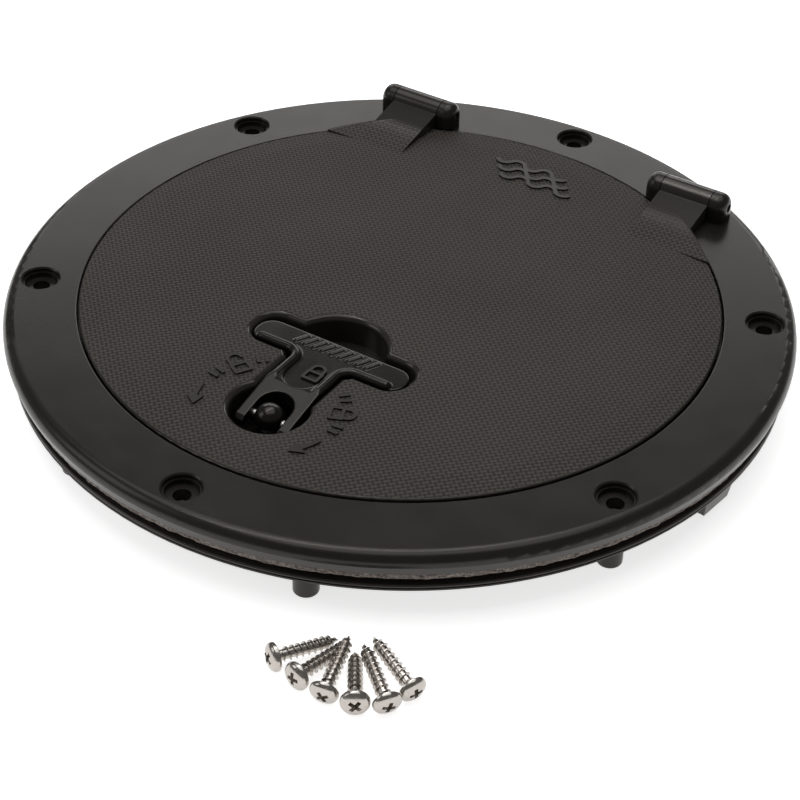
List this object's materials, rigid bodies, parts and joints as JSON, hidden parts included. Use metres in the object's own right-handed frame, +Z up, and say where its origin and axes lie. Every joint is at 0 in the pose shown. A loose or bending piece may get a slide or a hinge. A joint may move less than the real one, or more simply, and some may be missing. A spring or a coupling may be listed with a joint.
{
  "type": "deck hatch",
  "caption": "Round boat deck hatch: flanged ring with a hinged, grained lid, recessed T-handle latch, gasket, pegged backing ring and loose fixing screws.",
  "frame": {"origin": "centre of the hatch on the flange's underside, where the gasket and the deck meet it; it is the centre of the front and back screw pair", "axes": "+Z up out of the deck through the lid, +Y from the latch towards the hinges, +X to the right seen from the latch side"},
  "size_m": [0.258, 0.2776, 0.0349],
  "materials": {
    "ring_plastic": "moulded plastic, satin top with glossy rolled edge",
    "gasket_foam": "closed-cell foam",
    "backing_plastic": "moulded plastic, satin",
    "pin_steel": "plain stainless bar",
    "lid_plastic": "moulded plastic with a fine non-slip grain",
    "seal_rubber": "soft rubber",
    "mark_plastic": "raised moulded mark",
    "bush_plastic": "natural acetal",
    "handle_plastic": "glossy moulded plastic",
    "spindle_steel": "turned stainless",
    "washer_plastic": "natural nylon",
    "spring_steel": "sprung stainless",
    "cam_plastic": "glass-filled nylon",
    "screw_steel": "bright stainless"
  },
  "bodies": {
    "frame": {"base_ring": "ring_plastic", "deck_gasket": "gasket_foam", "backing_ring": "backing_plastic", "hinge_pin_left": "pin_steel", "hinge_pin_right": "pin_steel"},
    "lid": {"lid_panel": "lid_plastic", "lid_seal": "seal_rubber", "lid_emblem": "mark_plastic", "open_mark": "mark_plastic", "close_mark": "mark_plastic", "spindle_bush": "bush_plastic", "handle_hub": "handle_plastic"},
    "handle": {"t_handle": "handle_plastic", "handle_pin": "pin_steel", "lock_mark": "mark_plastic"},
    "latch": {"spindle": "spindle_steel", "spindle_o_ring": "seal_rubber", "thrust_washer": "washer_plastic", "spring_washer": "spring_steel", "latch_cam": "cam_plastic", "cam_washer": "pin_steel", "cam_screw": "pin_steel"},
    "screws": {"mounting_screws": "screw_steel"}
  },
  "joints": [
    {"name": "lid_hinge", "type": "hinge", "parent": "frame", "child": "lid", "pos_m": [0, 0.1, 0.01215], "axis": [-1, 0, 0], "range_deg": [0, 110]},
    {"name": "handle_fold", "type": "hinge", "parent": "lid", "child": "handle", "pos_m": [0, -0.0743, 0.0032], "axis": [1, 0, 0], "range_deg": [0, 90]},
    {"name": "latch_turn", "type": "hinge", "parent": "lid", "child": "latch", "pos_m": [0, -0.0743, 0], "axis": [0, 0, 1], "range_deg": [0, 90]},
    {"name": "screws_lift", "type": "slide", "parent": "frame", "child": "screws", "axis": [0, 0, 1], "range_m": [0, 0.1]}
  ],
  "couplings": [
    {"joint": "latch_turn", "follows": "handle_fold", "ratio": 1}
  ]
}
